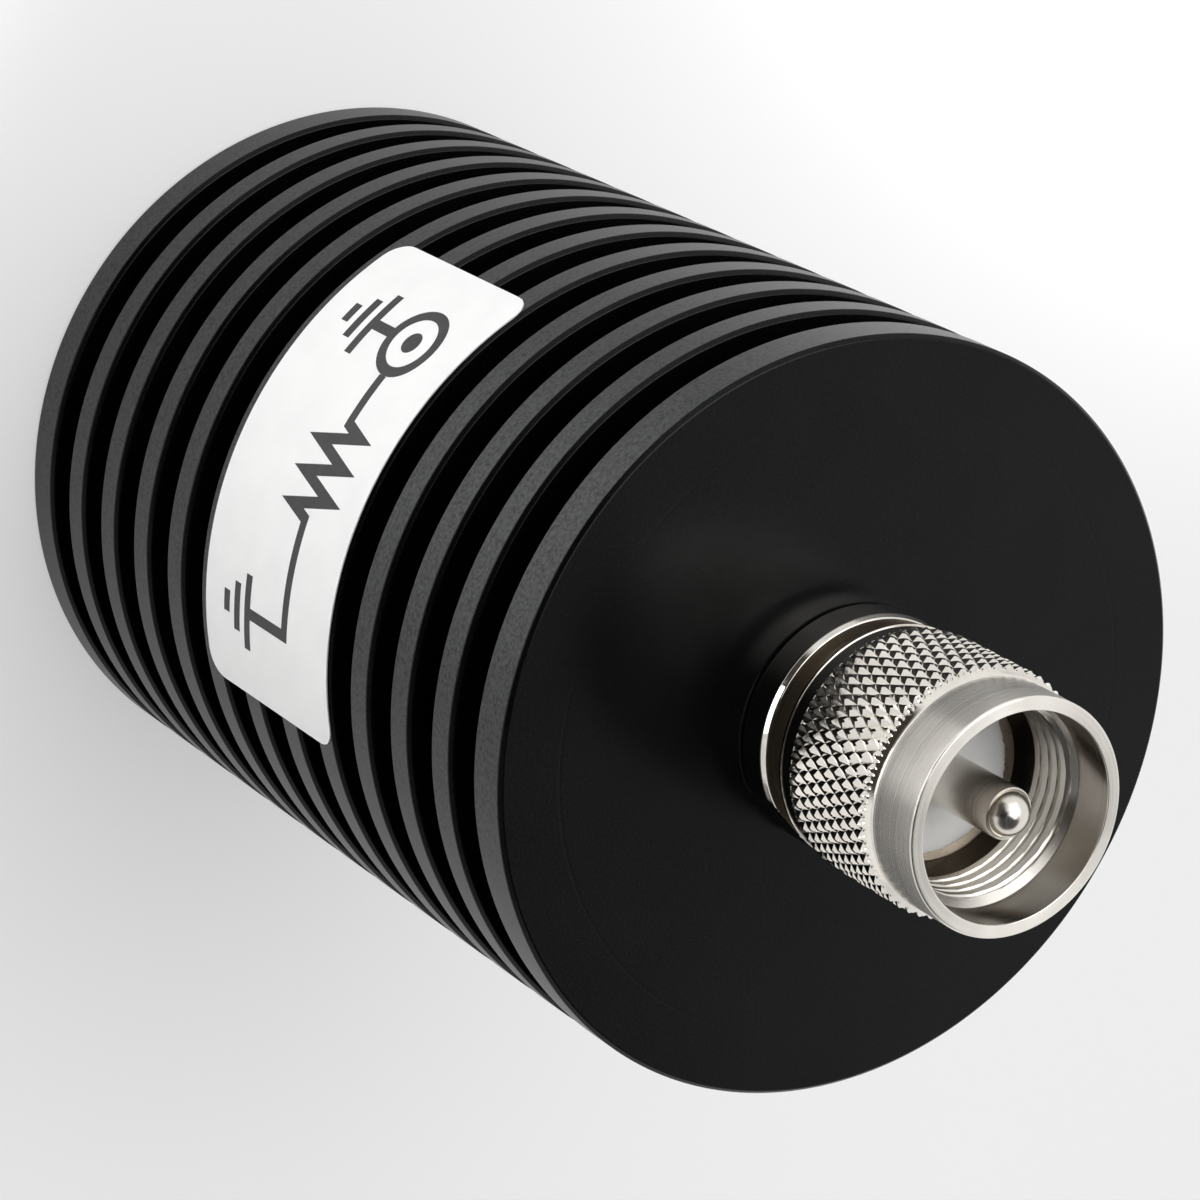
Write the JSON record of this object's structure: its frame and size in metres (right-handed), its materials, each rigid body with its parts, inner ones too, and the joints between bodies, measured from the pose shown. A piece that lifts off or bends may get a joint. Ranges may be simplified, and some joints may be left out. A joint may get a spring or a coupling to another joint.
{
  "type": "rf dummy load",
  "caption": "Finned cylindrical RF dummy load: black anodised heat sink, coaxial plug with a loose knurled coupling nut, and a plain sticker over the fins.",
  "frame": {"origin": "centre of the flat rear face of the heat sink, on the axis", "axes": "+Z along the axis from the rear face towards the plug, with the middle of the label facing -Y"},
  "size_m": [0.06, 0.0601, 0.1027],
  "materials": {
    "black_anodised": "satin black anodised, fine blasted grain",
    "nickel": "nickel plated",
    "ptfe": "smooth, slightly waxy",
    "pin_plating": "bright plated",
    "bronze": "spring bronze",
    "copper": "machined copper",
    "ceramic": "fired ceramic",
    "label": "satin paper sticker"
  },
  "bodies": {
    "load_body": {"heat_sink": "black_anodised", "connector_body": "nickel", "front_insulator": "ptfe", "rear_insulator": "ptfe", "centre_pin": "pin_plating", "resistor_carrier": "copper", "resistor_substrate": "ceramic", "resistor_cover": "ceramic", "resistor_tab": "pin_plating", "rating_label": "label"},
    "nut_ring": {"retaining_ring": "bronze"},
    "nut": {"coupling_nut": "nickel"}
  },
  "joints": [
    {"name": "nut_slide", "type": "slide", "parent": "load_body", "child": "nut_ring", "axis": [0, 0, 1], "range_m": [-0.0015, 0]},
    {"name": "nut_spin", "type": "hinge", "parent": "nut_ring", "child": "nut", "pos_m": [0, 0, 0.094], "axis": [0, 0, 1], "continuous": true}
  ]
}
